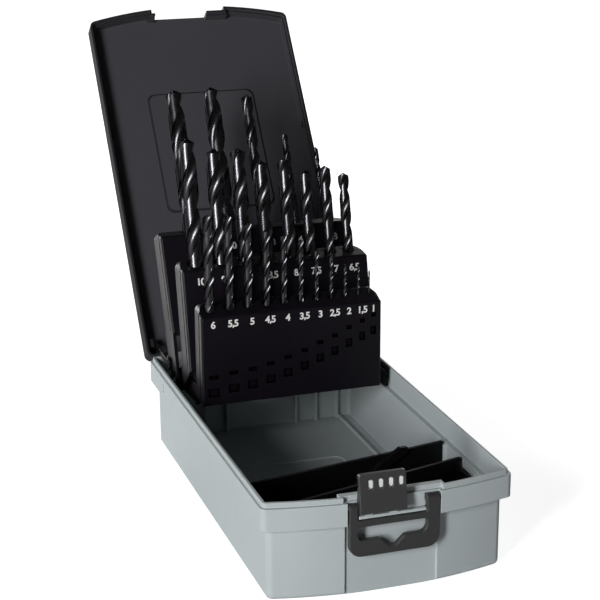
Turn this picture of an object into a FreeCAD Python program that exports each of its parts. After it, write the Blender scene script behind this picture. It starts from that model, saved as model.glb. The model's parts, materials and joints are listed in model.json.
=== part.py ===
import FreeCAD, Part
import math
import os

os.makedirs("parts", exist_ok=True)
V = FreeCAD.Vector

# Units are millimetres.  X runs across the case, +Y to the hinge side, +Z up.
# The origin is the middle of the underside of the lower box.

# ---- case sizes -----------------------------------------------------------
CASE_HALF_WIDTH = 67.0      # over the rim band
CASE_BACK = 115.0           # rear face of the rim band
FRONT_CORNER = -116.0       # front face at the two corners
FRONT_MIDDLE = -124.5       # front face in the middle, the front is bowed
RIM_Z = 51.5                # top of the rim band
BAND_Z = 39.5               # underside of the rim band
BAND_STEP = 4.0             # how far the band stands out over the box wall
BAND_WALL = 3.0
BOX_WALL = 2.2
FLOOR = 2.5
LEDGE_Z = 41.7              # inside step where the band widens the box
CORNER_R = 4.0
LIP_TOP = 54.0              # raised tongue inside the rim
LIP_SET = 1.6               # shoulder left outside the tongue

# ---- latch bay in the front -----------------------------------------------
BAY_HALF = 24.7
BAY_Y = -120.6
PANEL_Y = -118.0            # flat panel behind the handle
BAY_WALL = 3.0
BAY_INSIDE_Y = -115.6

# ---- lid ------------------------------------------------------------------
LID_ANGLE = 126.7           # opening angle
LID_DEPTH = 11.5
LID_GAP = 0.2
LID_WALL = 2.4
LID_TOP = 2.3
HINGE_Y = 116.5
HINGE_Z = 51.6
HINGE_PIN_R = 1.0
BARREL_R = 2.6
PANEL_MIDDLE = -23.5        # y of the middle of the lid's panel, lid closed
PANEL_STEP = 1.2

# ---- drill holders: all three turn about one axis -------------------------
PIVOT_Y = 82.0
PIVOT_Z = 49.0
PIVOT_R = 2.0
PIVOT_FIT = 0.08
# name: lean back, half width, front face, back face, bottom, top edge
# (front and back are distances in front of the pivot axis,
#  bottom and top are distances above it, all square to the lean)
HOLDERS = {
    "front": dict(lean=0.0, half=54.1, wf=44.6, wb=29.6, ub=-1.2, ut=51.0),
    "middle": dict(lean=12.2, half=56.6, wf=28.8, wb=10.3, ub=8.0, ut=66.0),
    "back": dict(lean=24.4, half=59.1, wf=9.5, wb=-10.0, ub=27.0, ut=85.0),
}
TOP_SLOPE = 5.0             # the back edge of each holder top is higher
END_CORNER_R = 5.0
ARM_T = 2.0
JOINT_SET = 4.6             # joint line behind the front face, on both ends
JOINT_WIDE = 1.3
# row: (diameter, overall length, flute length, centre x, length in the holder)
DRILLS = {
    "front": [
        (6.0, 93, 57, -47.2, 37.5), (5.5, 93, 57, -35.4, 38.5),
        (5.0, 86, 52, -24.1, 36.5), (4.5, 80, 47, -13.3, 35.5),
        (4.0, 75, 43, -2.9, 34.5), (3.5, 70, 39, 7.2, 33.5),
        (3.0, 61, 33, 16.7, 31.0), (2.5, 57, 30, 25.6, 30.0),
        (2.0, 49, 24, 34.2, 29.7), (1.5, 40, 18, 42.4, 22.2),
        (1.0, 34, 12, 49.2, 19.9),
    ],
    "middle": [
        (10.0, 133, 87, -46.0, 59.5), (9.5, 125, 81, -30.6, 58.5),
        (9.0, 125, 81, -16.0, 59.5), (8.5, 117, 75, -2.4, 59.5),
        (8.0, 117, 75, 11.8, 59.5), (7.5, 109, 69, 24.2, 59.0),
        (7.0, 109, 69, 36.6, 57.5), (6.5, 101, 63, 48.0, 54.5),
    ],
    "back": [
        (10.5, 133, 87, -37.5, 44.8), (10.2, 133, 87, -14.2, 44.5),
        (6.8, 109, 69, 8.0, 26.8), (4.2, 75, 43, 28.9, 18.9),
        (3.3, 65, 36, 47.8, 18.5),
    ],
}
HOLE_FIT = 0.12
# Height of the upper sight slot over the pivot axis, for each front drill.
FRONT_SLOTS = (15.5, 17.2, 18.2, 20.2, 22.9, 25.9, 29.7, 32.9, 36.9, 40.1, 43.0)
SLOT_PITCH = 9.4

# ---- lid-to-holder drive links -------------------------------------------
LINK_LID_Y, LINK_LID_Z = 126.89, 57.60
LINK_U, LINK_W = 11.10, -6.98    # stud on the back holder arm
STUD_R = 1.5

# ---- latch and handle -----------------------------------------------------
LATCH_X0, LATCH_X1 = -19.2, 5.2
LATCH_Y, LATCH_Z = -122.2, 47.6
HANDLE_Y, HANDLE_Z = -121.8, 48.5
HANDLE_EYE_R = 2.1
SLOT_PLACES = (-13.5, -8.2, -2.9, 2.4)
SLOT_R = 1.4
PLUG_R = 0.95
SMALL_PIN_R = 0.9


def save(name, shape):
    solids = shape.Solids
    if len(solids) == 1:
        shape = solids[0]
    else:
        shape = Part.makeCompound(solids)
    if not shape.isValid():
        raise ValueError(name + " is not a valid solid")
    shape.exportStep("parts/" + name + ".step")


def box(x0, x1, y0, y1, z0, z1):
    return Part.makeBox(x1 - x0, y1 - y0, z1 - z0, V(x0, y0, z0))


def rod(radius, x0, x1, y, z):
    return Part.makeCylinder(radius, x1 - x0, V(x0, y, z), V(1, 0, 0))


def plate_yz(points, x0, x1):
    # A flat plate with the given outline in the YZ plane, from x0 to x1.
    outline = [V(x0, p[0], p[1]) for p in points]
    face = Part.Face(Part.makePolygon(outline + [outline[0]]))
    return face.extrude(V(x1 - x0, 0, 0))


def plate_xz(points, y0, y1):
    outline = [V(p[0], y0, p[1]) for p in points]
    face = Part.Face(Part.makePolygon(outline + [outline[0]]))
    return face.extrude(V(0, y1 - y0, 0))


def case_block(inset, z0, z1, radius):
    # The plan shape of the case, drawn in by "inset", with its bowed front.
    hw = CASE_HALF_WIDTH - inset
    back = CASE_BACK - inset
    corner = FRONT_CORNER + inset
    middle = FRONT_MIDDLE + inset
    p1 = V(-hw, corner, z0)
    p2 = V(hw, corner, z0)
    p3 = V(hw, back, z0)
    p4 = V(-hw, back, z0)
    front = Part.Arc(p1, V(0, middle, z0), p2).toShape()
    edges = [front, Part.makeLine(p2, p3), Part.makeLine(p3, p4), Part.makeLine(p4, p1)]
    solid = Part.Face(Part.Wire(edges)).extrude(V(0, 0, z1 - z0))
    uprights = []
    for edge in solid.Edges:
        a = edge.Vertexes[0].Point
        b = edge.Vertexes[-1].Point
        if abs(a.x - b.x) < 1e-6 and abs(a.y - b.y) < 1e-6:
            uprights.append(edge)
    return solid.makeFillet(radius, uprights)


def bay_cut(half, y, z0, z1):
    return box(-half, half, -140, y, z0, z1)


def edges_near(shape, test):
    chosen = []
    for edge in shape.Edges:
        box_ = edge.BoundBox
        if test(box_):
            chosen.append(edge)
    return chosen


# ---- lower box ------------------------------------------------------------
HINGE_SPANS = [(33.0, 38.8), (45.2, 51.0)]      # box barrels, per side
LID_SPANS = [(39.1, 44.9)]                      # lid barrels, per side


def make_case_base():
    band = case_block(0, BAND_Z, RIM_Z, CORNER_R)
    band = band.cut(bay_cut(BAY_HALF, BAY_Y, BAND_Z - 1, RIM_Z + 1))
    lower = case_block(BAND_STEP, 0, BAND_Z + 0.5, CORNER_R)
    rim_edges = edges_near(lower, lambda b: b.ZMax < 0.01)
    lower = lower.makeFillet(2.8, rim_edges)
    lower = lower.cut(bay_cut(BAY_HALF, PANEL_Y, -1, BAND_Z))
    outer = band.fuse(lower)
    # The latch bay keeps its own wall behind the set-back face.
    cavity_top = case_block(BAND_WALL, LEDGE_Z, LIP_TOP + 1, CORNER_R - BAND_WALL)
    cavity_low = case_block(BAND_STEP + BOX_WALL, FLOOR, LEDGE_Z + 0.1, 2.5)
    cavity = cavity_top.fuse(cavity_low)
    cavity = cavity.cut(bay_cut(BAY_HALF + BAY_WALL, BAY_INSIDE_Y, 0, 60))
    tongue = case_block(LIP_SET, RIM_Z - 0.5, LIP_TOP, CORNER_R - LIP_SET)
    tongue = tongue.cut(bay_cut(BAY_HALF + LIP_SET, BAY_Y + LIP_SET, 50, 60))
    shell = outer.fuse(tongue).cut(cavity)
    # Strengthening ribs on the back wall and side strips on the floor.
    back_inside = CASE_BACK - BAND_STEP - BOX_WALL
    for x in (-48.0, -34.0, -20.4, 24.2, 37.4, 51.4):
        shell = shell.fuse(box(x - 0.8, x + 0.8, back_inside - 2.6, back_inside + 0.5, 2, 24))
    side_inside = CASE_HALF_WIDTH - BAND_STEP - BOX_WALL
    for sign in (-1, 1):
        a, b = sorted((sign * 54.2, sign * (side_inside + 0.5)))
        shell = shell.fuse(box(a, b, -104, -40, 2, FLOOR + 1.0))
        a, b = sorted((sign * 52.2, sign * 53.5))
        shell = shell.fuse(box(a, b, -40, back_inside + 0.5, 2, FLOOR + 1.6))
        for y in (-44.5, -86.0):
            a, b = sorted((sign * (side_inside - 1.4), sign * (side_inside + 0.5)))
            shell = shell.fuse(box(a, b, y - 0.8, y + 0.8, 2, 41))
    # Shallow sunk field in the middle of the floor.
    field = box(-32.5, 32.5, -39, 47, FLOOR - 0.9, FLOOR + 1)
    corners = edges_near(field, lambda b: b.XLength < 0.01 and b.YLength < 0.01)
    shell = shell.cut(field.makeFillet(6, corners))
    # Ledge under the latch with the two lugs the latch turns on.
    ledge = box(-18.8, 16.7, -123.6, BAY_Y + 1, 42.5, 44.0)
    shell = shell.fuse(ledge)
    for x0, x1 in ((-15.5, -11.5), (-2.5, 1.5)):
        lug = plate_yz([(BAY_Y + 1, 43.9), (-123.6, 43.9), (-123.9, 48.6), (-122.6, 49.6),
                        (BAY_Y + 1, 50.6)], x0, x1)
        shell = shell.fuse(lug)
    shell = shell.cut(rod(SMALL_PIN_R + 0.02, -16, 2, LATCH_Y, LATCH_Z))
    # Hinge barrels behind the rim and two rests for the open lid.
    for side in (-1, 1):
        for x0, x1 in HINGE_SPANS:
            a, b = sorted((side * x0, side * x1))
            neck = plate_yz([(114.0, 41.0), (115.6, 41.0), (118.6, 49.4), (118.6, 51.6),
                             (114.0, 51.4)], a, b)
            barrel = rod(BARREL_R, a, b, HINGE_Y, HINGE_Z)
            shell = shell.fuse(neck).fuse(barrel)
        for x0, x1 in LID_SPANS:
            a, b = sorted((side * (x0 - 0.3), side * (x1 + 0.3)))
            shell = shell.cut(rod(BARREL_R + 0.3, a, b, HINGE_Y, HINGE_Z))
        a, b = sorted((side * 32.0, side * 52.0))
        shell = shell.cut(rod(HINGE_PIN_R + 0.02, a, b, HINGE_Y, HINGE_Z))
        a, b = sorted((side * 12.0, side * 20.0))
        rest = plate_yz([(114.5, 40.5), (115.0, 40.5), (122.0, 46.8), (122.0, 48.7),
                         (118.0, 50.9), (114.5, 50.9)], a, b)
        shell = shell.fuse(rest)
        # Handle pin bores and the bracket snap slots.
        a, b = sorted((side * 24.0, side * 29.5))
        shell = shell.cut(rod(SMALL_PIN_R + 0.02, a, b, HANDLE_Y, HANDLE_Z))
        # Hollow that lets the rounded handle eye turn.
        a, b = sorted((side * 16.9, side * BAY_HALF))
        shell = shell.cut(rod(HANDLE_EYE_R + 0.3, a, b, HANDLE_Y, HANDLE_Z))
        a, b = sorted((side * 62.0, side * 68.0))
        shell = shell.cut(box(a, b, 79.0, 81.2, 42.6, 48.6))
    return shell.removeSplitter()


# ---- lid, built closed and then swung open --------------------------------
def swing_lid(shape):
    shape = shape.copy()
    shape.rotate(V(0, HINGE_Y, HINGE_Z), V(1, 0, 0), -LID_ANGLE)
    return shape


def lid_stud_closed():
    angle = math.radians(LID_ANGLE)
    dy = LINK_LID_Y - HINGE_Y
    dz = LINK_LID_Z - HINGE_Z
    y = dy * math.cos(angle) - dz * math.sin(angle)
    z = dy * math.sin(angle) + dz * math.cos(angle)
    return HINGE_Y + y, HINGE_Z + z


def sloped_pad(half_x, front_y, z_wide, half_x2, front_y2, z_narrow):
    # A rounded panel about the point (0, PANEL_MIDDLE) with sloping sides.
    wires = []
    for hx, fy, z in ((half_x, front_y, z_wide), (half_x2, front_y2, z_narrow)):
        hy = fy - PANEL_MIDDLE
        slab = box(-hx, hx, PANEL_MIDDLE - hy, PANEL_MIDDLE + hy, z, z + 1)
        uprights = edges_near(slab, lambda b: b.XLength < 0.01 and b.YLength < 0.01)
        slab = slab.makeFillet(5, uprights)
        for face in slab.Faces:
            if face.BoundBox.ZMax < z + 0.01:
                wires.append(face.OuterWire)
    return Part.makeLoft(wires, True, True)


def make_lid():
    z0 = RIM_Z + LID_GAP
    top = RIM_Z + LID_DEPTH
    outer = case_block(0, z0, top, CORNER_R)
    crown = edges_near(outer, lambda b: b.ZMin > top - 0.01)
    outer = outer.makeFillet(1.2, crown)
    outer = outer.cut(bay_cut(BAY_HALF, BAY_Y, z0 - 1, top + 1))
    hollow = case_block(LID_WALL, z0 - 1, top - LID_TOP, CORNER_R - LID_WALL)
    hollow = hollow.cut(bay_cut(BAY_HALF + 2.4, BAY_Y + 2.4, 0, 80))
    rebate = case_block(LIP_SET - 0.2, z0 - 1, LIP_TOP + 0.3, CORNER_R - 1.4)
    rebate = rebate.cut(bay_cut(BAY_HALF + 1.4, BAY_Y + 1.4, 0, 80))
    lid = outer.cut(hollow).cut(rebate)
    # The latch reaches through this notch in the front wall.
    lid = lid.cut(box(-22.5, 12.5, -122, -117, z0 - 1, top - LID_TOP))
    # Middle panel: sunk outside and standing in by as much inside, with
    # sloping sides.
    inside = top - LID_TOP
    pad = sloped_pad(36.5, 19.0, inside + 0.3, 34.9, 17.4, inside - PANEL_STEP)
    sink = sloped_pad(34.5, 17.0, top + 0.01, 33.2, 15.7, top - PANEL_STEP)
    lid = lid.fuse(pad).cut(sink)
    stud_y, stud_z = lid_stud_closed()
    wall_x = CASE_HALF_WIDTH - LID_WALL
    for side in (-1, 1):
        # Ear and stud that drive the holders.
        a, b = sorted((side * 61.5, side * (wall_x + 0.3)))
        ear = plate_yz([(stud_y - 3.6, top - 2), (stud_y - 2.6, stud_z - 2.2),
                        (stud_y + 2.6, stud_z - 2.2), (stud_y + 3.6, top - 2)], a, b)
        a, b = sorted((side * 59.3, side * 62.0))
        lid = lid.fuse(ear).fuse(rod(STUD_R, a, b, stud_y, stud_z))
        # Small snap nubs on the side walls.
        for y in (38.5, -35.0):
            a, b = sorted((side * (wall_x - 1.2), side * (wall_x + 0.3)))
            lid = lid.fuse(box(a, b, y - 2.2, y + 2.2, 56.4, 58.2))
        for x0, x1 in LID_SPANS:
            a, b = sorted((side * x0, side * x1))
            neck = plate_yz([(114.0, 51.8), (118.9, 51.8), (118.6, 53.6), (115.6, 59.5),
                             (114.0, 59.5)], a, b)
            lid = lid.fuse(neck).fuse(rod(BARREL_R, a, b, HINGE_Y, HINGE_Z))
        for x0, x1 in HINGE_SPANS:
            a, b = sorted((side * (x0 - 0.3), side * (x1 + 0.3)))
            lid = lid.cut(rod(BARREL_R + 0.3, a, b, HINGE_Y, HINGE_Z))
        a, b = sorted((side * 32.0, side * 52.0))
        lid = lid.cut(rod(HINGE_PIN_R + 0.08, a, b, HINGE_Y, HINGE_Z))
    return swing_lid(lid.removeSplitter())


# ---- holders --------------------------------------------------------------
def lean_back(shape, lean):
    shape = shape.copy()
    shape.translate(V(0, PIVOT_Y, PIVOT_Z))
    shape.rotate(V(0, PIVOT_Y, PIVOT_Z), V(1, 0, 0), -lean)
    return shape


def make_holder(row):
    h = HOLDERS[row]
    hw, wf, wb, ub, ut = h["half"], h["wf"], h["wb"], h["ub"], h["ut"]
    body = plate_yz([(-wf, ub), (-wb, ub), (-wb, ut + TOP_SLOPE), (-wb - 3, ut + TOP_SLOPE),
                     (-wf, ut)], -hw, hw)
    crown = edges_near(body, lambda b: b.ZMin > ut - 0.1 and b.XLength > 50)
    body = body.makeFillet(1.6, crown)
    ends = edges_near(body, lambda b: b.XLength < 0.01 and b.ZLength > 20 and b.YMax < -wf + 0.1)
    body = body.makeFillet(1.2, ends)
    # The two upper corners are well rounded, seen from the front.
    frame = plate_xz([(-hw, ub - 1), (hw, ub - 1), (hw, ut + TOP_SLOPE), (-hw, ut + TOP_SLOPE)],
                     -wf - 1, -wb + 1)
    corners = edges_near(frame, lambda b: b.ZMin > ut and b.XLength < 0.01)
    body = body.common(frame.makeFillet(END_CORNER_R, corners))
    # A joint line near the front face, on both ends.
    for side in (-1, 1):
        a, b = sorted((side * (hw - 1.6), side * (hw + 1)))
        body = body.cut(box(a, b, -wf + JOINT_SET, -wf + JOINT_SET + JOINT_WIDE, ub - 1, ut + 8))
    for side in (-1, 1):
        a, b = sorted((side * (hw - ARM_T), side * hw))
        if row == "front":
            arm = plate_yz([(-wb - 1, -5.0), (0, -6.0), (4, -4.6), (6, 0), (4, 4.6),
                            (0, 6.0), (-wb - 1, 6.6)], a, b)
        elif row == "middle":
            arm = plate_yz([(-wf + 0.4, ub + 2), (-wf + 0.4, ub), (-9, -4.2), (-4, -6.0),
                            (0, -6.0), (4, -4.6), (6, 0), (4, 4.6), (-wb, ub + 2)], a, b)
        else:
            arm = plate_yz([(-wf + 0.4, ub + 2), (-wf + 0.4, ub), (-6, 0), (-4, -4.6),
                            (0, -6.0), (4, -4.6), (6, 0), (10, 9.5), (10, ub + 2)], a, b)
        body = body.fuse(arm)
        body = body.fuse(rod(6.0, a, b, 0, 0))
        if row == "back":
            lo, hi = sorted((side * (hw - 0.5), side * 61.2))
            body = body.fuse(rod(STUD_R, lo, hi, -LINK_W, LINK_U))
        lo, hi = sorted((side * 45, side * 62))
        body = body.cut(rod(PIVOT_R + PIVOT_FIT, lo, hi, 0, 0))
    axis_y = -(wf + wb) / 2.0
    for i, (d, total, flute, x, depth) in enumerate(DRILLS[row]):
        r = d / 2.0 + HOLE_FIT
        foot = ut + TOP_SLOPE / 2.0 - depth
        body = body.cut(Part.makeCylinder(r, 90, V(x, axis_y, foot), V(0, 0, 1)))
        # Two sight slots in the front face, one over the other.
        w = 1.2 + 0.28 * d
        high = foot + 14.0
        if row == "front":
            high = FRONT_SLOTS[i]
        for mid, wide, tall in ((high, w, 1.3), (high - SLOT_PITCH, 1.2 * w, 2.6)):
            slot = box(x - wide, x + wide, -wf - 1, -wf + 1.2, mid - tall, mid + tall)
            body = body.cut(slot)
    return lean_back(body.removeSplitter(), h["lean"])


def make_drill(row, d, total, flute, x, depth):
    h = HOLDERS[row]
    axis_y = -(h["wf"] + h["wb"]) / 2.0
    foot = h["ut"] + TOP_SLOPE / 2.0 - depth
    r = d / 2.0
    point = r / math.tan(math.radians(59))
    edge = min(0.4, r * 0.3)
    profile = [V(0, 0, 0), V(r - edge, 0, 0), V(r, 0, edge), V(r, 0, total - point),
               V(0, 0, total)]
    face = Part.Face(Part.makePolygon(profile + [profile[0]]))
    solid = face.revolve(V(0, 0, 0), V(0, 0, 1), 360)
    solid.translate(V(x, axis_y, foot))
    return lean_back(solid, h["lean"])


# ---- brackets, pins and links --------------------------------------------
def make_bracket(side):
    a, b = sorted((side * 61.5, side * 63.85))
    outline = [(50.0, 41.9), (104.0, 41.9), (104.0, 47.0), (98.0, 50.6), (87.5, 50.9),
               (85.4, 53.6), (78.6, 53.6), (76.5, 51.2), (50.0, 51.2)]
    plate = plate_yz(outline, a, b)
    n0, n1 = sorted((side * 63.5, side * 66.4))
    nub = box(n0, n1, 79.2, 81.0, 42.8, 48.4)
    lo, hi = sorted((side * 61, side * 64))
    plate = plate.fuse(nub)
    return plate.cut(rod(PIVOT_R + 0.02, lo, hi, PIVOT_Y, PIVOT_Z))


def make_pivot_pins():
    pins = []
    for side in (-1, 1):
        a, b = sorted((side * 49.9, side * 63.2))
        pin = rod(PIVOT_R, a, b, PIVOT_Y, PIVOT_Z)
        a, b = sorted((side * 48.8, side * 49.9))
        head = rod(3.3, a, b, PIVOT_Y, PIVOT_Z)
        pins.append(pin.fuse(head).removeSplitter())
    return Part.makeCompound(pins)


def make_hinge_pins():
    pins = []
    for side in (-1, 1):
        a, b = sorted((side * 33.3, side * 50.8))
        pins.append(rod(HINGE_PIN_R, a, b, HINGE_Y, HINGE_Z))
    return Part.makeCompound(pins)


def holder_point(row, u, w):
    lean = math.radians(HOLDERS[row]["lean"])
    y = PIVOT_Y + u * math.sin(lean) - w * math.cos(lean)
    z = PIVOT_Z + u * math.cos(lean) + w * math.sin(lean)
    return y, z


def make_links():
    sy, sz = holder_point("back", LINK_U, LINK_W)
    length = math.hypot(LINK_LID_Y - sy, LINK_LID_Z - sz)
    tilt = math.degrees(math.atan2(LINK_LID_Z - sz, LINK_LID_Y - sy))
    links = []
    for side in (-1, 1):
        a, b = sorted((side * 59.5, side * 60.9))
        bar = box(a, b, 0, length, -2.0, 2.0)
        bar = bar.fuse(rod(3.5, a, b, 0, 0)).fuse(rod(2.7, a, b, length, 0))
        bar = bar.cut(rod(STUD_R + 0.75, a - 1, b + 1, 0, 0))
        bar = bar.cut(rod(STUD_R + 0.08, a - 1, b + 1, length, 0))
        bar.rotate(V(0, 0, 0), V(1, 0, 0), tilt)
        bar.translate(V(0, sy, sz))
        links.append(bar.removeSplitter())
    return Part.makeCompound(links)


# ---- tip stop tray in the front of the box --------------------------------
def make_tip_stop():
    wall_z = FLOOR + 1.0
    back_l, back_r = (-59.0, -64.2), (59.0, -42.4)
    front_l, front_r = (-59.0, -97.6), (59.0, -66.8)

    def wall(p, q, t, z1):
        points = [V(p[0], p[1], wall_z), V(q[0], q[1], wall_z),
                  V(q[0], q[1] - t, wall_z), V(p[0], p[1] - t, wall_z)]
        face = Part.Face(Part.makePolygon(points + [points[0]]))
        return face.extrude(V(0, 0, z1 - wall_z))

    tray = wall(back_l, back_r, 1.8, 43.0)
    tray = tray.fuse(wall(front_l, front_r, 1.8, 43.0))
    base = [V(-53.6, -64.8, FLOOR), V(53.6, -44.9, FLOOR), V(53.6, -69.0, FLOOR),
            V(-53.6, -97.2, FLOOR)]
    sole = Part.Face(Part.makePolygon(base + [base[0]])).extrude(V(0, 0, 1.6))
    tray = tray.fuse(sole)
    # End cheeks and a forward foot at the right.
    for x0, x1, y0, y1, z1 in ((-59.0, -57.2, -97.6, -64.4, 26.0),
                               (57.2, 59.0, -67.0, -43.0, 26.0),
                               (57.2, 59.0, -88.0, -66.0, 38.0)):
        tray = tray.fuse(box(x0, x1, y0, y1, wall_z, z1))
    # Brace that climbs the front of the back wall to a rounded tab.
    rise = (back_r[1] - back_l[1]) / (back_r[0] - back_l[0])
    brace = []
    for x, z in ((4.0, 30.0), (31.0, 45.6), (35.5, 45.2), (35.5, 42.0), (8.0, 27.0)):
        brace.append(V(x, back_l[1] + (x - back_l[0]) * rise - 1.6, z))
    bar = Part.Face(Part.makePolygon(brace + [brace[0]])).extrude(V(0.4, -2.4, 0))
    return tray.fuse(bar).removeSplitter()


# ---- latch ----------------------------------------------------------------
def upright_oval(x, radius, y0, y1):
    oval = box(x - radius, x + radius, y0, y1, 59.4, 62.0)
    for z in (59.4, 62.0):
        oval = oval.fuse(Part.makeCylinder(radius, y1 - y0, V(x, y0, z), V(0, 1, 0)))
    return oval.removeSplitter()


def make_latch():
    x0, x1 = LATCH_X0, LATCH_X1
    plate = plate_yz([(-127.0, 46.3), (-125.0, 46.0), (-121.9, 63.3), (-121.0, 63.5),
                      (-121.0, 65.0), (-122.0, 66.3), (-123.9, 66.3)], x0, x1)
    corners = edges_near(plate, lambda b: b.ZMin > 66.0 and b.XLength < 0.01)
    plate = plate.makeFillet(1.6, corners)
    for a, b in ((x0, x0 + 2.0), (x1 - 2.0, x1)):
        cheek = plate_yz([(-125.4, 46.2), (-122.2, 45.1), (-121.0, 46.6), (-121.0, 49.5),
                          (-121.6, 58.0), (-123.4, 60.5)], a, b)
        plate = plate.fuse(cheek)
    plate = plate.cut(rod(SMALL_PIN_R + 0.06, x0 - 1, x1 + 1, LATCH_Y, LATCH_Z))
    # Four upright oval slots near the top.
    for x in SLOT_PLACES:
        plate = plate.cut(upright_oval(x, SLOT_R, -128, -120))
    return plate.removeSplitter()


def make_latch_grips():
    # Light plugs on the right side of each slot, a little below flush.
    plugs = []
    for x in SLOT_PLACES:
        plugs.append(upright_oval(x + SLOT_R - PLUG_R, PLUG_R, -124.1, -122.8))
    return Part.makeCompound(plugs)


def make_latch_pin():
    return rod(SMALL_PIN_R, LATCH_X0 + 0.2, LATCH_X1 - 0.2, LATCH_Y, LATCH_Z)


# ---- handle ---------------------------------------------------------------
def make_handle():
    y0, y1 = -123.9, -120.9
    left, right = -23.9, 24.1

    def rounded(points, radii):
        # A plate whose corners have the given radii, in the order of points.
        solid = plate_xz(points, y0, y1)
        for (x, z), radius in zip(points, radii):
            if radius:
                edge = edges_near(solid, lambda b: abs(b.XMin - x) < 0.01 and b.XLength < 0.01
                                  and abs(b.ZMin - z) < 0.01 and b.ZLength < 0.01)
                solid = solid.makeFillet(radius, edge)
        return solid

    body = rounded([(left, HANDLE_Z), (left, 22.3), (right, 22.3), (right, HANDLE_Z)],
                   (0, 6.5, 6.5, 0))
    body = body.cut(rounded([(-19.5, 60.0), (-19.5, 41.8), (17.2, 41.8), (17.2, 60.0)],
                            (0, 1.2, 1.2, 0)))
    # Finger opening with a dip in the middle of its lower edge.
    grip = [(-19.5, 38.2), (-19.5, 30.9), (-7.6, 30.9), (-2.6, 26.0), (0.4, 26.0),
            (5.4, 30.9), (17.2, 30.9), (17.2, 38.2)]
    body = body.cut(rounded(grip, (1.2, 3.2, 1.8, 1.4, 1.4, 1.8, 4.0, 1.2)))
    rims = edges_near(body, lambda b: b.YMax < y0 + 0.01)
    body = body.makeFillet(0.5, rims)
    for a, b in ((left, -19.5), (17.2, right)):
        body = body.fuse(rod(HANDLE_EYE_R, a, b, HANDLE_Y, HANDLE_Z))
    return body.cut(rod(SMALL_PIN_R + 0.06, -25, 25, HANDLE_Y, HANDLE_Z)).removeSplitter()


def make_handle_pins():
    left = rod(SMALL_PIN_R, -29.0, -20.0, HANDLE_Y, HANDLE_Z)
    right = rod(SMALL_PIN_R, 17.8, 29.0, HANDLE_Y, HANDLE_Z)
    return Part.makeCompound([left, right])


save("case_base", make_case_base())
save("tip_stop_tray", make_tip_stop())
save("bracket_left", make_bracket(-1))
save("bracket_right", make_bracket(1))
save("holder_pivot_pins", make_pivot_pins())
save("lid", make_lid())
save("lid_hinge_pins", make_hinge_pins())
save("drive_links", make_links())
for row in HOLDERS:
    save("holder_" + row, make_holder(row))
    for spec in DRILLS[row]:
        label = ("%g" % spec[0]).replace(".", "_")
        save("drill_" + label + "mm", make_drill(row, *spec))
save("latch", make_latch())
save("latch_grips", make_latch_grips())
save("latch_pin", make_latch_pin())
save("handle", make_handle())
save("handle_pins", make_handle_pins())
print("saved", len(os.listdir("parts")), "parts")
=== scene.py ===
# %% [markdown]
# # A fan-out drill case
#
# A grey plastic box whose dark lid swings back and, through two short links,
# raises three black holders full of twist drills.  The moving frame comes
# packed from the CAD model, one object for each part.  This lesson keeps the
# moulded parts, gives each a surface, and builds what the frame leaves plain:
# the spiral drills and the printed size numbers.

# %% Load the frame
import bpy
import json
import math
from mathutils import Matrix, Vector


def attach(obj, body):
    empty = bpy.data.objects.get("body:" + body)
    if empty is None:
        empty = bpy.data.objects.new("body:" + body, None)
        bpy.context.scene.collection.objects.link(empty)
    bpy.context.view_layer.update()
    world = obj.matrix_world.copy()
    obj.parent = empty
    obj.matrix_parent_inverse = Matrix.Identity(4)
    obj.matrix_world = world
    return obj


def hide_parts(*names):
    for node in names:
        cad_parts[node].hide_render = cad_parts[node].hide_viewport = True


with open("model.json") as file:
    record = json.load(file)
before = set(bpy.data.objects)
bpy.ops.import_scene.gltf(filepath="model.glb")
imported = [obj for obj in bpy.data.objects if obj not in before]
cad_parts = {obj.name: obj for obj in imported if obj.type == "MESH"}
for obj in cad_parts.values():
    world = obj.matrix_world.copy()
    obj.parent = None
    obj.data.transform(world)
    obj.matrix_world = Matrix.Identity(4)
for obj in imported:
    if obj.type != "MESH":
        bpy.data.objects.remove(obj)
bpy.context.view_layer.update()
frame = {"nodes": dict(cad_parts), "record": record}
NODES = frame["nodes"]

# %% [markdown]
# Sizes are easier to read in millimetres, but Blender works in metres, so one
# constant turns one into the other.  Colours are written as the hex values a
# painter would pick on a screen and turned to linear light by one function.

# %% Units and colours
MM = 0.001


def colour(hex_text):
    channels = []
    for i in (0, 2, 4):
        c = int(hex_text[i:i + 2], 16) / 255
        channels.append(c / 12.92 if c <= 0.04045 else ((c + 0.055) / 1.055) ** 2.4)
    return (*channels, 1.0)


# %% [markdown]
# Every material and every Geometry Nodes tree is a graph.  One helper adds a
# node, sets its properties, and fills its inputs with numbers or links.

# %% Add a node
def add(tree, kind, inputs=None, **settings):
    node = tree.nodes.new(kind)
    for name, value in settings.items():
        setattr(node, name, value)
    for key, value in (inputs or {}).items():
        socket = node.inputs[key]
        if isinstance(value, bpy.types.NodeSocket):
            tree.links.new(value, socket)
        else:
            socket.default_value = value
    return node


# %% [markdown]
# A new material comes with nodes of its own.  They are cleared, so each graph
# below holds only what its cell builds.  Patterns are placed by Object
# coordinates, which stay on a part when it moves.

# %% Start a material
def bare_material(name):
    mat = bpy.data.materials.new(name)
    mat.use_nodes = True
    mat.node_tree.nodes.clear()
    return mat, mat.node_tree, add(mat.node_tree, "ShaderNodeTexCoord").outputs["Object"]
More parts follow.
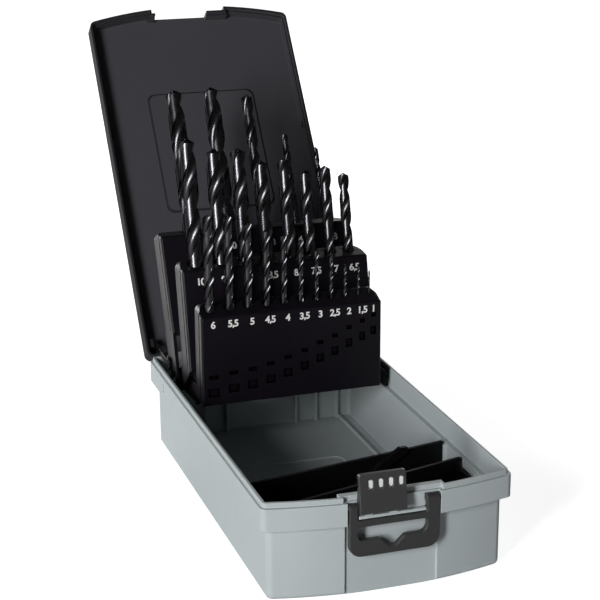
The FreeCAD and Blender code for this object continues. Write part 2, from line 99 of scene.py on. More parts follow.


# %% [markdown]
# ## Moulded plastics
#
# The box is ABS, the holders and the tray are polypropylene, the latch and
# the handle are nylon.  All come out of steel moulds whose walls are spark
# eroded, which leaves a fine random texture that spreads the light.  A real
# mould grain is about 0.1 mm; it is drawn at 0.5 mm so that it shows.
# The corners of a moulding are never sharp, so a Bevel node rounds the
# shading there.  Where the rounded normal departs from the true one there is
# an edge, and a painted highlight makes edges paler than the faces.
# Wider noises vary the tone and the gloss the way handled plastic does.

# %% Plastic material
TONES, RUBS = 28.0, 130.0       # patches per metre: 36 mm and 8 mm across
GRAIN_DEPTH = 0.05              # mm


def moulded_plastic(name, hex_base, hex_shade, hex_edge_highlight, roughness, shine, grain_mm, bump,
                    edge_mm):
    mat, tree, where = bare_material(name)
    grain = add(tree, "ShaderNodeTexNoise",
                {"Vector": where, "Scale": 1 / (grain_mm * MM), "Detail": 3.0, "Roughness": 0.6})
    wide = add(tree, "ShaderNodeTexNoise", {"Vector": where, "Scale": TONES, "Detail": 3.0})
    rub = add(tree, "ShaderNodeTexNoise", {"Vector": where, "Scale": RUBS, "Detail": 5.0})
    face = add(tree, "ShaderNodeMix", {"Factor": wide.outputs["Fac"], 6: colour(hex_base),
                                       7: colour(hex_shade)}, data_type="RGBA")
    gloss = add(tree, "ShaderNodeMapRange",
                {"Value": rub.outputs["Fac"], "From Min": 0.3, "From Max": 0.7,
                 "To Min": roughness - 0.03, "To Max": roughness + 0.04})
    soft = add(tree, "ShaderNodeBevel", {"Radius": edge_mm * MM}, samples=4)
    true_normal = add(tree, "ShaderNodeNewGeometry").outputs["Normal"]
    # painted highlight: where the bevelled normal departs from the true one, the colour goes paler
    agree = add(tree, "ShaderNodeVectorMath", {0: soft.outputs["Normal"], 1: true_normal},
                operation="DOT_PRODUCT")
    edge_highlight = add(tree, "ShaderNodeMapRange", {"Value": agree.outputs["Value"], "From Min": 0.98,
                                            "From Max": 0.80, "To Min": 0.0, "To Max": 1.0})
    tint = add(tree, "ShaderNodeMix", {"Factor": edge_highlight.outputs["Result"], 6: face.outputs[2],
                                       7: colour(hex_edge_highlight)}, data_type="RGBA")
    texture = add(tree, "ShaderNodeBump",
                  {"Height": grain.outputs["Fac"], "Strength": bump,
                   "Distance": GRAIN_DEPTH * MM, "Normal": soft.outputs["Normal"]})
    skin = add(tree, "ShaderNodeBsdfPrincipled",
               {"Base Color": tint.outputs[2], "Roughness": gloss.outputs["Result"],
                "IOR": 1.53, "Specular IOR Level": shine, "Normal": texture.outputs["Normal"]})
    add(tree, "ShaderNodeOutputMaterial", {"Surface": skin.outputs["BSDF"]})
    return mat


# %% [markdown]
# Each finish slot of the record gets one plastic: its name, the two tones of
# its faces and the colour of the painted highlight on its edges, then how rough
# and how shiny it is, the size and depth of its grain, and the radius of its corners.

# %% The plastics of the case
PLASTICS = {
    # light grey ABS reads almost flat, with a whisper of cool blue
    "case_grey": moulded_plastic("moulded_abs_light_grey", "B3BBBC", "ABB3B5", "DFE4E5",
                                 roughness=0.55, shine=0.3, grain_mm=0.5, bump=0.3, edge_mm=0.5),
    # charcoal ABS of the lid
    "lid_dark": moulded_plastic("moulded_abs_charcoal", "47464B", "424146", "5A5A5E",
                                roughness=0.6, shine=0.25, grain_mm=0.5, bump=0.4, edge_mm=0.5),
    # black polypropylene: waxy, a little glossier
    "holder_black": moulded_plastic("moulded_polypropylene_black", "110D14", "0C090F", "1E1B21",
                                    roughness=0.4, shine=0.2, grain_mm=0.6, bump=0.2, edge_mm=0.4),
    "tray_black": moulded_plastic("moulded_polypropylene_tray", "0C0C0D", "08080A", "2A2A2C",
                                  roughness=0.5, shine=0.12, grain_mm=0.6, bump=0.2, edge_mm=0.4),
    "bracket_black": moulded_plastic("moulded_nylon_black", "101012", "0C0C0E", "1E1E20",
                                     roughness=0.4, shine=0.2, grain_mm=0.6, bump=0.2, edge_mm=0.3),
    # dark grey nylon: satin, rubbed smoother where fingers work it
    "latch_dark": moulded_plastic("moulded_nylon_latch", "3A3A3A", "353536", "616162",
                                  roughness=0.42, shine=0.35, grain_mm=0.6, bump=0.2, edge_mm=0.6),
    "handle_dark": moulded_plastic("moulded_nylon_handle", "373737", "303031", "575758",
                                   roughness=0.4, shine=0.35, grain_mm=0.6, bump=0.2, edge_mm=1.0),
}
# the latch's grips are coloured near white, a painted highlight for the light the grips catch on
# the dark nylon
GRIP_HIGHLIGHT_PLASTIC = moulded_plastic("moulded_abs_painted_grip_highlight", "E6E9E9", "DEE2E2", "F0F2F2",
                             roughness=0.5, shine=0.4, grain_mm=0.5, bump=0.2, edge_mm=0.2)
print("plastics:", len(PLASTICS) + 1)

# %% [markdown]
# The holders' sight slots and ribs get little light, so a painted shade
# darkens them.  Ambient Occlusion measures how open a place is, and the colour
# and the shine fall with it.

# %% Painted shade in the holders' recesses
def paint_shade_in_recesses(mat, reach_mm):
    tree = mat.node_tree
    skin = tree.nodes["Principled BSDF"]
    colour_in, shine_in = skin.inputs["Base Color"], skin.inputs["Specular IOR Level"]
    open_sky = add(tree, "ShaderNodeAmbientOcclusion", {"Distance": reach_mm * MM}, samples=8)
    bare = add(tree, "ShaderNodeMapRange", {"Value": open_sky.outputs["AO"], "From Min": 0.70,
                                            "From Max": 0.96, "To Min": 0.08, "To Max": 1.0})
    # painted shade: the colour goes towards near black where the place is closed in
    painted_shade = add(tree, "ShaderNodeMix", {"Factor": bare.outputs["Result"], 6: colour("020202"),
                                       7: colour_in.links[0].from_socket}, data_type="RGBA")
    tree.links.new(painted_shade.outputs[2], colour_in)
    level = add(tree, "ShaderNodeMath", {0: bare.outputs["Result"], 1: shine_in.default_value},
                operation="MULTIPLY")
    tree.links.new(level.outputs[0], shine_in)


paint_shade_in_recesses(PLASTICS["holder_black"], 4.0)
print("recesses of the holders: darkened")

# %% [markdown]
# The inside of the lid is charcoal.  The outside and the ends of the walls are
# coloured almost black and made rougher.  A face is outside where it looks away
# from the middle of the lid's hollow, so the dot product of its normal and its
# place, measured from that middle, tells the two apart.

# %% Darker, matt outside of the lid
LID_MIDDLE = (0.0, 191.75 * MM, 143.47 * MM)
AWAY_FROM = 0.5 * MM        # a little above nothing, so that rounding can't flip a face


def matt_outside(mat, hex_outside, roughness):
    tree = mat.node_tree
    skin = tree.nodes["Principled BSDF"]
    where = add(tree, "ShaderNodeTexCoord").outputs
    arm = add(tree, "ShaderNodeVectorMath", {0: where["Object"], 1: LID_MIDDLE},
              operation="SUBTRACT")
    away = add(tree, "ShaderNodeVectorMath", {0: where["Normal"], 1: arm.outputs["Vector"]},
               operation="DOT_PRODUCT")
    outside = add(tree, "ShaderNodeMath", {0: away.outputs["Value"], 1: AWAY_FROM},
                  operation="GREATER_THAN")
    tint = add(tree, "ShaderNodeMix", {"Factor": outside.outputs[0],
                                       6: skin.inputs["Base Color"].links[0].from_socket,
                                       7: colour(hex_outside)}, data_type="RGBA")
    tree.links.new(tint.outputs[2], skin.inputs["Base Color"])
    matt = add(tree, "ShaderNodeMix", {"Factor": outside.outputs[0],
                                       2: skin.inputs["Roughness"].links[0].from_socket,
                                       3: roughness})
    tree.links.new(matt.outputs[0], skin.inputs["Roughness"])


matt_outside(PLASTICS["lid_dark"], "222125", 0.9)
print("outside of the lid: matt black")

# %% [markdown]
# ## Steel
#
# The pins are bright drawn wire: the die leaves fine lines along the wire.
# They are 0.25 mm apart across it and 25 mm long, which shows as a soft sheen.

# %% Drawn wire
def drawn_wire():
    mat, tree, where = bare_material("drawn_steel_wire")
    along = add(tree, "ShaderNodeMapping", {"Vector": where, "Scale": (40.0, 4000.0, 4000.0)})
    lines = add(tree, "ShaderNodeTexNoise", {"Vector": along.outputs["Vector"], "Scale": 1.0,
                                             "Detail": 2.0})
    gloss = add(tree, "ShaderNodeMapRange", {"Value": lines.outputs["Fac"],
                                             "To Min": 0.22, "To Max": 0.42})
    relief = add(tree, "ShaderNodeBump", {"Height": lines.outputs["Fac"], "Strength": 0.2,
                                          "Distance": 0.02 * MM})
    steel = add(tree, "ShaderNodeBsdfPrincipled",
                {"Base Color": colour("BFC0C2"), "Metallic": 1.0,
                 "Roughness": gloss.outputs["Result"], "Normal": relief.outputs["Normal"]})
    add(tree, "ShaderNodeOutputMaterial", {"Surface": steel.outputs["BSDF"]})
    return mat


# %% [markdown]
# The drills are ground high-speed steel with a black oxide skin.  The oxide
# is a few micrometres thick, so the metal still mirrors the room but dark,
# and the grinding leaves faint rings, 0.2 mm apart.

# %% Black oxide steel
def black_oxide_steel():
    mat, tree, where = bare_material("black_oxide_high_speed_steel")
    across = add(tree, "ShaderNodeMapping", {"Vector": where, "Scale": (300.0, 300.0, 5000.0)})
    rings = add(tree, "ShaderNodeTexNoise", {"Vector": across.outputs["Vector"], "Scale": 1.0,
                                             "Detail": 2.0})
    patch = add(tree, "ShaderNodeTexNoise", {"Vector": where, "Scale": 220.0, "Detail": 4.0})
    tone = add(tree, "ShaderNodeMix", {"Factor": patch.outputs["Fac"], 6: colour("4A4A4D"),
                                       7: colour("58585B")}, data_type="RGBA")
    gloss = add(tree, "ShaderNodeMapRange", {"Value": patch.outputs["Fac"], "From Min": 0.3,
                                             "From Max": 0.7, "To Min": 0.24, "To Max": 0.32})
    relief = add(tree, "ShaderNodeBump", {"Height": rings.outputs["Fac"], "Strength": 0.15,
                                          "Distance": 0.02 * MM})
    steel = add(tree, "ShaderNodeBsdfPrincipled",
                {"Base Color": tone.outputs[2], "Metallic": 1.0, "Specular Tint": colour("202020"),
                 "Roughness": gloss.outputs["Result"], "Normal": relief.outputs["Normal"]})
    add(tree, "ShaderNodeOutputMaterial", {"Surface": steel.outputs["BSDF"]})
    return mat


STEELS = {"pin_steel": drawn_wire(), "drill_black_oxide": black_oxide_steel()}
FINISHES = {**PLASTICS, **STEELS}
print("steels:", len(STEELS))

# %% [markdown]
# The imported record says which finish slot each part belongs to, so one loop
# dresses them all.

# %% Dress the moulded parts
for part in frame["record"]["subparts"]:
    node = NODES[part["node"]]
    node.data.materials.clear()
    node.data.materials.append(FINISHES[part["material_slot"]])
# the grips take the near-white plastic, a painted highlight
NODES["latch_grips"].data.materials[0] = GRIP_HIGHLIGHT_PLASTIC

# %% [markdown]
# ## Twist drills
#
# A twist drill is a round bar with two flutes milled along a helix and a
# 118 degree point.  Its shape follows a rule, so Geometry Nodes can make it:
# a flat grid is wrapped round an axis, each row is turned a little further
# than the last, and the radius follows the drill's section.  One tree makes
# every size from its named inputs, and the next cells build it in stages.

# %% Drill tree and its inputs
HELIX = math.radians(26)
POINT = math.radians(59)        # half of the point's 118 degrees
MATH = "ShaderNodeMath"

drill_tree = bpy.data.node_groups.new("twist_drill", "GeometryNodeTree")
for name, kind in (("Diameter", "NodeSocketFloat"), ("Length", "NodeSocketFloat"),
                   ("Flute Length", "NodeSocketFloat"), ("Pitch", "NodeSocketFloat"),
                   ("Start Angle", "NodeSocketFloat"), ("Rows", "NodeSocketInt"),
                   ("Finish", "NodeSocketMaterial")):
    drill_tree.interface.new_socket(name, in_out="INPUT", socket_type=kind)
drill_tree.interface.new_socket("Mesh", in_out="OUTPUT", socket_type="NodeSocketGeometry")
given = add(drill_tree, "NodeGroupInput").outputs
print("drill inputs:", [socket.name for socket in given if socket.name])

# %% [markdown]
# The section is half of the drill's outline, from one lip to the next.  The
# flute is one smooth Bezier curve from the lip's edge, past the web, to the
# heel.  Then come the land, cut back a little so that it doesn't rub, and the
# raised margin that guides the drill in its hole.  Each place is a share of a
# half turn and a share of the radius.

# %% Drill section
FLUTE = ((0.766, -0.643), (0.05, -0.62), (0.02, 0.35), (0.506, 0.810))  # lip, two pulls, heel
FLUTE_STEPS = 16
LAND_START, LAND_SPAN, LAND_STEPS, LAND_REACH = 0.322, 0.413, 9, 0.955
MARGIN = (0.745, 0.762, 0.778)


def drill_section():
    places = []
    for step in range(FLUTE_STEPS + 1):
        t = step / FLUTE_STEPS
        weights = ((1 - t) ** 3, 3 * t * (1 - t) ** 2, 3 * t * t * (1 - t), t ** 3)
        x, y = (sum(w * point[axis] for w, point in zip(weights, FLUTE)) for axis in (0, 1))
        places.append((math.atan2(y, x) / math.pi, math.hypot(x, y)))
    places += [(LAND_START + LAND_SPAN * step / LAND_STEPS, LAND_REACH)
               for step in range(1, LAND_STEPS + 1)]
    return places + [(place, 1.0) for place in MARGIN]


SECTION = drill_section()
print("drill section:", len(SECTION), "places")

# %% [markdown]
# The grid has a column for every place of the section, twice round, and a row
# for every step up the drill.  Rows 0 and 1 lie flat on the shank's end, the
# last few make the point, and the others climb evenly between them.

# %% Rows up the drill
ROWS_UP = 100
POINT_ROWS = 7
COLUMNS = 2 * (len(SECTION) - 1) + 1

sheet = add(drill_tree, "GeometryNodeMeshGrid",
            {"Size X": 1.0, "Size Y": 1.0, "Vertices X": COLUMNS, "Vertices Y": given["Rows"]})
on_sheet = add(drill_tree, "GeometryNodeInputPosition").outputs[0]
spot = add(drill_tree, "ShaderNodeSeparateXYZ", {"Vector": on_sheet}).outputs
around = add(drill_tree, MATH, {0: spot["X"], 1: 0.5}, operation="ADD").outputs[0]
up = add(drill_tree, MATH, {0: spot["Y"], 1: 0.5}, operation="ADD").outputs[0]
last = add(drill_tree, MATH, {0: given["Rows"], 1: 1.0}, operation="SUBTRACT").outputs[0]
row_here = add(drill_tree, MATH, {0: up, 1: last}, operation="MULTIPLY").outputs[0]
cone_row = add(drill_tree, MATH, {0: last, 1: float(POINT_ROWS)}, operation="SUBTRACT").outputs[0]
radius = add(drill_tree, MATH, {0: given["Diameter"], 1: 0.5}, operation="MULTIPLY").outputs[0]
cone_height = add(drill_tree, MATH, {0: radius, 1: math.tan(POINT)}, operation="DIVIDE").outputs[0]
straight = add(drill_tree, MATH, {0: given["Length"], 1: cone_height},
               operation="SUBTRACT").outputs[0]
low = add(drill_tree, "ShaderNodeMapRange", {"Value": row_here, "From Min": 1.0,
                                             "From Max": cone_row, "To Max": straight})
high = add(drill_tree, "ShaderNodeMapRange", {"Value": row_here, "From Min": cone_row,
                                              "From Max": last, "To Max": cone_height})
height = add(drill_tree, MATH, {0: low.outputs[0], 1: high.outputs[0]}, operation="ADD").outputs[0]
print("drill grid:", COLUMNS, "by", ROWS_UP)

# %% [markdown]
# The flutes start above the shank.  From there each row is turned further
# than the one below, by a full turn for every pitch.

# %% Turn each row
start = add(drill_tree, MATH, {0: given["Length"], 1: given["Flute Length"]},
            operation="SUBTRACT").outputs[0]
past = add(drill_tree, MATH, {0: height, 1: start}, operation="SUBTRACT").outputs[0]
run = add(drill_tree, MATH, {0: past, 1: 0.0}, operation="MAXIMUM").outputs[0]
turns = add(drill_tree, MATH, {0: run, 1: given["Pitch"]}, operation="DIVIDE").outputs[0]
turn = add(drill_tree, MATH, {0: turns, 1: 2 * math.pi}, operation="MULTIPLY").outputs[0]
print("helix angle:", round(math.degrees(HELIX)), "degrees")

# %% [markdown]
# Two curve nodes read the section off a table, one for how far round a place
# is and one for how far out.  A fraction repeats the section, so that it goes
# twice round the bar.

# %% Read the section
twice = add(drill_tree, MATH, {0: around, 1: 2.0}, operation="MULTIPLY").outputs[0]
half = add(drill_tree, MATH, {0: twice}, operation="FRACT").outputs[0]
tables = []
for values in zip(*SECTION):
    curve = add(drill_tree, "ShaderNodeFloatCurve", {"Value": half})
    curve.mapping.use_clip = False
    knots = curve.mapping.curves[0].points
    knots[0].location = (0.0, values[0])
    knots[1].location = (1.0, values[-1])
    for step, value in enumerate(values[1:-1], 1):
        knots.new(step / (len(values) - 1), value)
    for knot in knots:
        knot.handle_type = "VECTOR"
    curve.mapping.update()
    tables.append(curve.outputs[0])
swing, reach = tables
print("section tables:", len(tables), "of", len(knots), "knots")

# %% [markdown]
# The flutes run out gently into the shank, which is evenly round: over a
# little less than a diameter the section fades into a circle.

# %% Fade the flutes into the shank
RUN_OUT = 0.9           # of a diameter

fade = add(drill_tree, MATH, {0: given["Diameter"], 1: RUN_OUT}, operation="MULTIPLY").outputs[0]
depth = add(drill_tree, "ShaderNodeMapRange", {"Value": run, "From Min": 0.0, "From Max": fade},
            interpolation_type="SMOOTHSTEP").outputs[0]
even = add(drill_tree, MATH, {0: half, 1: SECTION[0][0]}, operation="ADD").outputs[0]
shift = add(drill_tree, MATH, {0: swing, 1: even}, operation="SUBTRACT").outputs[0]
moved = add(drill_tree, MATH, {0: shift, 1: depth}, operation="MULTIPLY").outputs[0]
side = add(drill_tree, MATH, {0: twice}, operation="FLOOR").outputs[0]
circle = add(drill_tree, MATH, {0: side, 1: even}, operation="ADD").outputs[0]
part = add(drill_tree, MATH, {0: circle, 1: moved}, operation="ADD").outputs[0]
bearing = add(drill_tree, MATH, {0: part, 1: math.pi}, operation="MULTIPLY").outputs[0]
turned = add(drill_tree, MATH, {0: bearing, 1: turn}, operation="ADD").outputs[0]
angle = add(drill_tree, MATH, {0: turned, 1: given["Start Angle"]}, operation="ADD").outputs[0]
hollow = add(drill_tree, MATH, {0: 1.0, 1: reach}, operation="SUBTRACT").outputs[0]
cut = add(drill_tree, MATH, {0: hollow, 1: depth}, operation="MULTIPLY").outputs[0]
share = add(drill_tree, MATH, {0: 1.0, 1: cut}, operation="SUBTRACT").outputs[0]
body = add(drill_tree, MATH, {0: share, 1: radius}, operation="MULTIPLY").outputs[0]
print("flutes fade over", RUN_OUT, "of a diameter")

# %% [markdown]
# At the top the radius may not pass the cone of the point.  At the bottom row
# 0 is drawn in to the axis and row 1 a little less than full, which gives the
# shank a flat end with a small bevel.

# %% Point and foot
FOOT = 0.92             # radius of row 1, as a share

left = add(drill_tree, MATH, {0: given["Length"], 1: height}, operation="SUBTRACT").outputs[0]
cone = add(drill_tree, MATH, {0: left, 1: math.tan(POINT)}, operation="MULTIPLY").outputs[0]
rise = add(drill_tree, MATH, {0: row_here, 1: FOOT}, operation="MULTIPLY").outputs[0]
bevel = add(drill_tree, MATH, {0: rise, 1: 1.0}, operation="MINIMUM").outputs[0]
footed = add(drill_tree, MATH, {0: body, 1: bevel}, operation="MULTIPLY").outputs[0]
out = add(drill_tree, MATH, {0: footed, 1: cone}, operation="MINIMUM").outputs[0]
print("point:", round(math.degrees(2 * POINT)), "degrees")

# %% [markdown]
# Angle, radius and height now place every point of the grid.  Both ends have
# shrunk to a point and are merged, as is the seam, which closes the skin.
# Faces are smooth, but the margins and the lips stay crisp.

# %% Skin of the drill
SEAM = 0.003 * MM
CRISP = 0.6             # radians between two faces

cosine = add(drill_tree, MATH, {0: angle}, operation="COSINE").outputs[0]
sine = add(drill_tree, MATH, {0: angle}, operation="SINE").outputs[0]
x = add(drill_tree, MATH, {0: out, 1: cosine}, operation="MULTIPLY").outputs[0]
y = add(drill_tree, MATH, {0: out, 1: sine}, operation="MULTIPLY").outputs[0]
place = add(drill_tree, "ShaderNodeCombineXYZ", {"X": x, "Y": y, "Z": height})
wrapped = add(drill_tree, "GeometryNodeSetPosition",
              {"Geometry": sheet.outputs["Mesh"], "Position": place.outputs[0]})
closed = add(drill_tree, "GeometryNodeMergeByDistance",
             {"Geometry": wrapped.outputs[0], "Distance": SEAM})
smooth = add(drill_tree, "GeometryNodeSetShadeSmooth", {"Geometry": closed.outputs[0]})
bend = add(drill_tree, "GeometryNodeInputMeshEdgeAngle").outputs["Unsigned Angle"]
sharp = add(drill_tree, MATH, {0: bend, 1: CRISP}, operation="GREATER_THAN").outputs[0]
crisp = add(drill_tree, "GeometryNodeSetShadeSmooth",
            {"Geometry": smooth.outputs[0], "Selection": sharp, "Shade Smooth": False},
            domain="EDGE")
real = add(drill_tree, "GeometryNodeRealizeInstances", {"Geometry": crisp.outputs[0]})
dressed = add(drill_tree, "GeometryNodeSetMaterial",
              {"Geometry": real.outputs[0], "Material": given["Finish"]})
add(drill_tree, "NodeGroupOutput", {"Mesh": dressed.outputs[0]})
print("twist drill tree:", len(drill_tree.nodes), "nodes")

# %% [markdown]
# The three holders turn about one axis and lean back a little more from front
# to rear.  A drill stands on the bottom of its socket, so its foot is the top
# of the holder less the depth it goes in.  Lengths are those of the standard
# jobber series.  The flutes of a set point every way, so each drill gets its
# own starting angle.

# %% Where the drills stand
PIVOT_Y, PIVOT_Z = 82.0, 49.0
TOP_SLOPE = 2.5         # a holder's top is this much higher at the drills than in front
# row: lean back in degrees, then from the pivot axis: front face, drill axis
# and front top edge
ROWS = {
    "front": (0.0, 44.6, 37.1, 51.0),
    "middle": (12.2, 28.8, 19.55, 66.0),
    "back": (24.4, 9.5, -0.25, 85.0),
}
# row: (diameter, overall length, flute length, x, depth in the holder, start angle)
DRILLS = {
    "front": [
        (6.0, 93, 57, -47.2, 37.5, 96), (5.5, 93, 57, -35.4, 38.5, 62),
        (5.0, 86, 52, -24.1, 36.5, 76), (4.5, 80, 47, -13.3, 35.5, 117),
        (4.0, 75, 43, -2.9, 34.5, 60), (3.5, 70, 39, 7.2, 33.5, 42),
        (3.0, 61, 33, 16.7, 31.0, 95), (2.5, 57, 30, 25.6, 30.0, 107),
        (2.0, 49, 24, 34.2, 29.7, 101), (1.5, 40, 18, 42.4, 22.2, 79),
        (1.0, 34, 12, 49.2, 19.9, 176),
    ],
    "middle": [
        (10.0, 133, 87, -46.0, 59.5, 71), (9.5, 125, 81, -30.6, 58.5, 73),
        (9.0, 125, 81, -16.0, 59.5, 73), (8.5, 117, 75, -2.4, 59.5, 64),
        (8.0, 117, 75, 11.8, 59.5, 66), (7.5, 109, 69, 24.2, 59.0, 43),
        (7.0, 109, 69, 36.6, 57.5, 69), (6.5, 101, 63, 48.0, 54.5, 59),
    ],
    "back": [
        (10.5, 133, 87, -37.5, 44.8, 102), (10.2, 133, 87, -14.2, 44.5, 76),
        (6.8, 109, 69, 8.0, 26.8, 50), (4.2, 75, 43, 28.9, 18.9, 23),
        (3.3, 65, 36, 47.8, 18.5, 85),
    ],
}


def on_holder(row):
    lean = math.radians(ROWS[row][0])
    turn = Matrix.Rotation(-lean, 4, "X")
    return Matrix.Translation((0, PIVOT_Y * MM, PIVOT_Z * MM)) @ turn


def size_name(diameter):
    return ("%g" % diameter).replace(".", "_")


print("drills:", sum(len(drills) for drills in DRILLS.values()))

# %% [markdown]
# A modifier or a text has its shape only once it is evaluated.  The result is
# kept as a plain mesh, and the mesh, not the object, is moved to its place.

# %% Keep an evaluated shape
def put_in_scene(name, data):
    thing = bpy.data.objects.new(name, data)
    bpy.context.scene.collection.objects.link(thing)
    return thing


def plain_mesh(thing):
    graph = bpy.context.evaluated_depsgraph_get()
    return bpy.data.meshes.new_from_object(thing.evaluated_get(graph), depsgraph=graph)


# %% [markdown]
# The tree's inputs are set by their identifiers before anything is evaluated.
# Each spiral drill then takes the place of the plain bar in the frame and
# rides on the same body, so it slides out of its socket with it.

# %% Make the drills
def make_drill(row, diameter, length, flutes, x, painted_shade, start_angle):
    name = "twist_drill_" + size_name(diameter)
    shell = put_in_scene(name, bpy.data.meshes.new(name))
    maker = shell.modifiers.new("drill", "NODES")
    maker.node_group = drill_tree
    values = {"Diameter": diameter * MM, "Length": length * MM, "Flute Length": flutes * MM,
              "Pitch": math.pi * diameter * MM / math.tan(HELIX),
              "Start Angle": math.radians(start_angle), "Rows": ROWS_UP,
              "Finish": STEELS["drill_black_oxide"]}
    for item in drill_tree.interface.items_tree:
        if item.in_out == "INPUT":
            maker[item.identifier] = values[item.name]
    plain = plain_mesh(shell)
    shell.modifiers.clear()
    shell.data = plain
    top = ROWS[row][3] + TOP_SLOPE
    plain.transform(on_holder(row) @ Matrix.Translation(
        (x * MM, -ROWS[row][2] * MM, (top - painted_shade) * MM)))
    cad = "drill_%smm" % size_name(diameter)
    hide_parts(cad)
    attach(shell, cad)
    return shell


for row, drills in DRILLS.items():
    for spec in drills:
        drill = make_drill(row, *spec)
    print(row, len(drills), "drills of", len(drill.data.polygons), "faces")

# %% [markdown]
# ## Size numbers
#
# Each socket has its drill's size in white on the front of the holder.  The
# ink is pad printed: a soft pad presses on a thin, slightly uneven coat that
# the eye reads as solid white.

# %% White ink
def white_ink():
    mat, tree, where = bare_material("pad_printed_white_ink")
    speck = add(tree, "ShaderNodeTexNoise", {"Vector": where, "Scale": 1500.0, "Detail": 2.0})
    tone = add(tree, "ShaderNodeMix", {"Factor": speck.outputs["Fac"], 6: colour("F4F4F2"),
                                       7: colour("DCDCDA")}, data_type="RGBA")
    ink = add(tree, "ShaderNodeBsdfPrincipled", {"Base Color": tone.outputs[2],
                                                 "Roughness": 0.45, "IOR": 1.5})
    add(tree, "ShaderNodeOutputMaterial", {"Surface": ink.outputs["BSDF"]})
    return mat


INK = white_ink()
print("ink:", INK.name)

# %% [markdown]
# The sizes are written with the decimal comma of metric tools.  Text is made
# a mesh, set upright, turned to lie on the leaning face, and joined into one
# piece for each holder.

# %% Number the holders
NUMBER_SIZE = 5.6
NUMBER_BOLD = 0.15      # how far each stroke is widened to each side
NUMBER_COAT = 0.08      # half of the ink's thickness, drawn thick enough to show
# middle of the numbers below the front top edge
NUMBER_DROP = {"front": 4.4, "middle": 6.9, "back": 9.5}


def size_numbers(row):
    face, top = ROWS[row][1], ROWS[row][3]
    parts = []
    for spec in DRILLS[row]:
        text = bpy.data.curves.new("number", "FONT")
        text.body = ("%g" % spec[0]).replace(".", ",")
        text.size = NUMBER_SIZE * MM
        text.align_x = "CENTER"
        text.align_y = "CENTER"
        text.extrude = NUMBER_COAT * MM
        text.offset = NUMBER_BOLD * MM
        text.space_character = 0.92
        word = put_in_scene("number", text)
        flat = plain_mesh(word)
        upright = Matrix.Rotation(math.radians(90), 4, "X")
        middle = Matrix.Translation((spec[3] * MM, -(face + NUMBER_COAT) * MM,
                                     (top - NUMBER_DROP[row]) * MM))
        flat.transform(on_holder(row) @ middle @ upright)
        bpy.data.objects.remove(word)
        parts.append(flat)
    verts, faces = [], []
    for flat in parts:
        base = len(verts)
        verts += [tuple(v.co) for v in flat.vertices]
        faces += [[base + i for i in p.vertices] for p in flat.polygons]
    mesh = bpy.data.meshes.new("size_numbers_" + row)
    mesh.from_pydata(verts, [], faces)
    mesh.materials.append(INK)
    piece = put_in_scene("size_numbers_" + row, mesh)
    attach(piece, "holder_" + row)
    return piece


for row in ROWS:
    size_numbers(row)
print("numbers on", len(ROWS), "holders")

# %% [markdown]
# ## Studio
#
# The case stands on a white sweep.  The background is white because the
# floor and the world glow to the camera and to reflections only, so the lamps
# alone light the case.  The glow that reflections see is white behind the
# case and dim in front of it, the way a dark room looks behind a camera.

# %% What glows, and where
DIM = 0.05              # glow in front of the case, where white is 1
BEHIND = {"From Min": 0.5, "From Max": 0.9, "To Min": DIM, "To Max": 1.0}


def seen_directly(tree):
    """1 where a ray comes straight from the camera, a mirror or a clear part."""
    path = add(tree, "ShaderNodeLightPath").outputs
    mirrored = add(tree, "ShaderNodeMath", {0: path["Is Glossy Ray"],
                                            1: path["Is Transmission Ray"]}, operation="MAXIMUM")
    either = add(tree, "ShaderNodeMath", {0: path["Is Camera Ray"], 1: mirrored.outputs[0]},
                 operation="MAXIMUM")
    return path["Is Camera Ray"], either.outputs[0]


# %% [markdown]
# The sweep is white card.  To the camera it glows white, a little less near
# the case, so that the case's shadow stays.  In reflections it is white
# behind the case and dim on the camera's side.

# %% Floor
FLOOR_REACH = 6.0


def white_card():
    mat, tree, where = bare_material("white_sweep")
    camera_ray, seen = seen_directly(tree)
    paper = add(tree, "ShaderNodeBsdfDiffuse", {"Color": colour("D8D8D8")})
    away = add(tree, "ShaderNodeVectorMath", {0: where}, operation="LENGTH").outputs["Value"]
    near = add(tree, "ShaderNodeMapRange", {"Value": away, "From Min": 0.2, "From Max": 0.7,
                                            "To Min": 0.80, "To Max": 1.0})
    way = add(tree, "ShaderNodeVectorMath", {0: where}, operation="NORMALIZE").outputs["Vector"]
    along = add(tree, "ShaderNodeSeparateXYZ", {"Vector": way}).outputs["Y"]
    mirrored = add(tree, "ShaderNodeMapRange", {"Value": along, **BEHIND})
    level = add(tree, "ShaderNodeMix", {"Factor": camera_ray, 2: mirrored.outputs["Result"],
                                        3: near.outputs["Result"]})
    glow = add(tree, "ShaderNodeEmission", {"Color": (1, 1, 1, 1), "Strength": level.outputs[0]})
    white = add(tree, "ShaderNodeAddShader", {0: paper.outputs[0], 1: glow.outputs[0]})
    mix = add(tree, "ShaderNodeMixShader", {0: seen, 1: paper.outputs[0], 2: white.outputs[0]})
    add(tree, "ShaderNodeOutputMaterial", {"Surface": mix.outputs[0]})
    return mat


card = bpy.data.meshes.new("floor")
corners = [(x * FLOOR_REACH, y * FLOOR_REACH, 0) for x, y in ((-1, -1), (1, -1), (1, 1), (-1, 1))]
card.from_pydata(corners, [], [(0, 1, 2, 3)])
card.materials.append(white_card())
floor = put_in_scene("floor", card)
print("floor:", 2 * FLOOR_REACH, "m wide")

# %% [markdown]
# The world is white to the camera.  Reflections see a white wall behind the
# case that ends above it, and a dim room elsewhere.  On the case itself it
# sheds only a faint light, to keep the shadows from going black.

# %% World
AMBIENT = 0.03


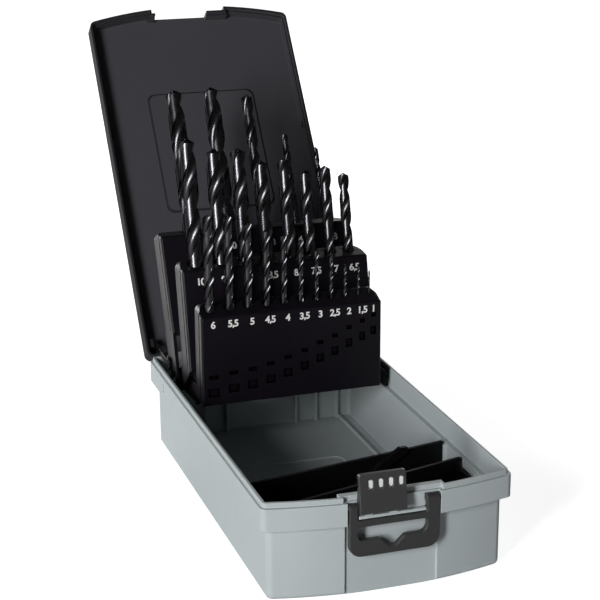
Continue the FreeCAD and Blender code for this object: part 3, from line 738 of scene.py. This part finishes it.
def studio_world():
    world = bpy.data.worlds.new("studio")
    bpy.context.scene.world = world
    world.use_nodes = True
    tree = world.node_tree
    tree.nodes.clear()
    camera_ray, seen = seen_directly(tree)
    lit = add(tree, "ShaderNodeBackground", {"Color": (1, 1, 1, 1), "Strength": AMBIENT})
    way = add(tree, "ShaderNodeTexCoord").outputs["Generated"]
    way = add(tree, "ShaderNodeSeparateXYZ", {"Vector": way}).outputs
    side = add(tree, "ShaderNodeMapRange", {"Value": way["Y"], **BEHIND})
    wall = add(tree, "ShaderNodeMapRange", {"Value": way["Z"], "From Min": 0.35, "From Max": 0.6,
                                            "To Min": 1.0, "To Max": DIM})
    both = add(tree, "ShaderNodeMath", {0: side.outputs["Result"], 1: wall.outputs["Result"]},
               operation="MINIMUM")
    level = add(tree, "ShaderNodeMath", {0: camera_ray, 1: both.outputs[0]}, operation="MAXIMUM")
    white = add(tree, "ShaderNodeBackground", {"Color": (1, 1, 1, 1),
                                               "Strength": level.outputs[0]})
    mix = add(tree, "ShaderNodeMixShader", {0: seen, 1: lit.outputs[0], 2: white.outputs[0]})
    add(tree, "ShaderNodeOutputWorld", {"Surface": mix.outputs[0]})


studio_world()
print("ambient light:", AMBIENT)

# %% [markdown]
# One upright soft box on the left, a little above the case, does the work.
# It is tall, so it draws one bright line down every drill, whatever its lean.
# Two weak boxes behind the case lift the rims and light the far sides.

# %% Lamps
MIDDLE = Vector((0.0, 0.0, 0.08))
LAMP_FAR = 1.8
# name: azimuth from the front towards the left and elevation in degrees,
# width and height in metres, power in watts
LAMPS = {
    "key": (47, 14, 0.3, 0.9, 31.0),
    "back_right": (-130, 12, 0.6, 0.5, 16.0),
    "back_left": (150, 10, 0.6, 0.4, 12.0),
}

for name, (azimuth, elevation, width, height, power) in LAMPS.items():
    box = bpy.data.lights.new(name, "AREA")
    box.shape = "RECTANGLE"
    box.size, box.size_y = width, height
    box.energy = power
    a, e = math.radians(azimuth), math.radians(elevation)
    way = Vector((-math.sin(a) * math.cos(e), -math.cos(a) * math.cos(e), math.sin(e)))
    lamp = put_in_scene(name, box)
    lamp.location = MIDDLE + LAMP_FAR * way
    lamp.rotation_euler = (-way).to_track_quat("-Z", "Y").to_euler()
print("lamps:", ", ".join(LAMPS))

# %% [markdown]
# The camera stands high and to the left with a long lens, so the box's edges
# stay nearly parallel.  Its turn is written as the three directions that it
# calls right, up and ahead.

# %% Camera
RIGHT = Vector((0.94908724, -0.31497369, -0.00499773))
UP = Vector((0.09845752, 0.28152988, 0.95448784))
AHEAD = Vector((0.29923155, 0.9063843, -0.29820795))
EYE = Vector((-0.2806, -0.8257, 0.3894))
FILM = 36.0             # mm
FRAME, FOCAL = 600, 1670.46     # pixels

lens = bpy.data.cameras.new("camera")
lens.sensor_width = FILM
lens.lens = FOCAL / FRAME * FILM
lens.clip_start = 0.05
camera = put_in_scene("camera", lens)
camera.matrix_world = Matrix.Translation(EYE) @ Matrix((RIGHT, UP, -AHEAD)).transposed().to_4x4()
bpy.context.scene.camera = camera
bpy.context.scene.view_settings.view_transform = "Standard"
print("lens:", round(lens.lens), "mm")
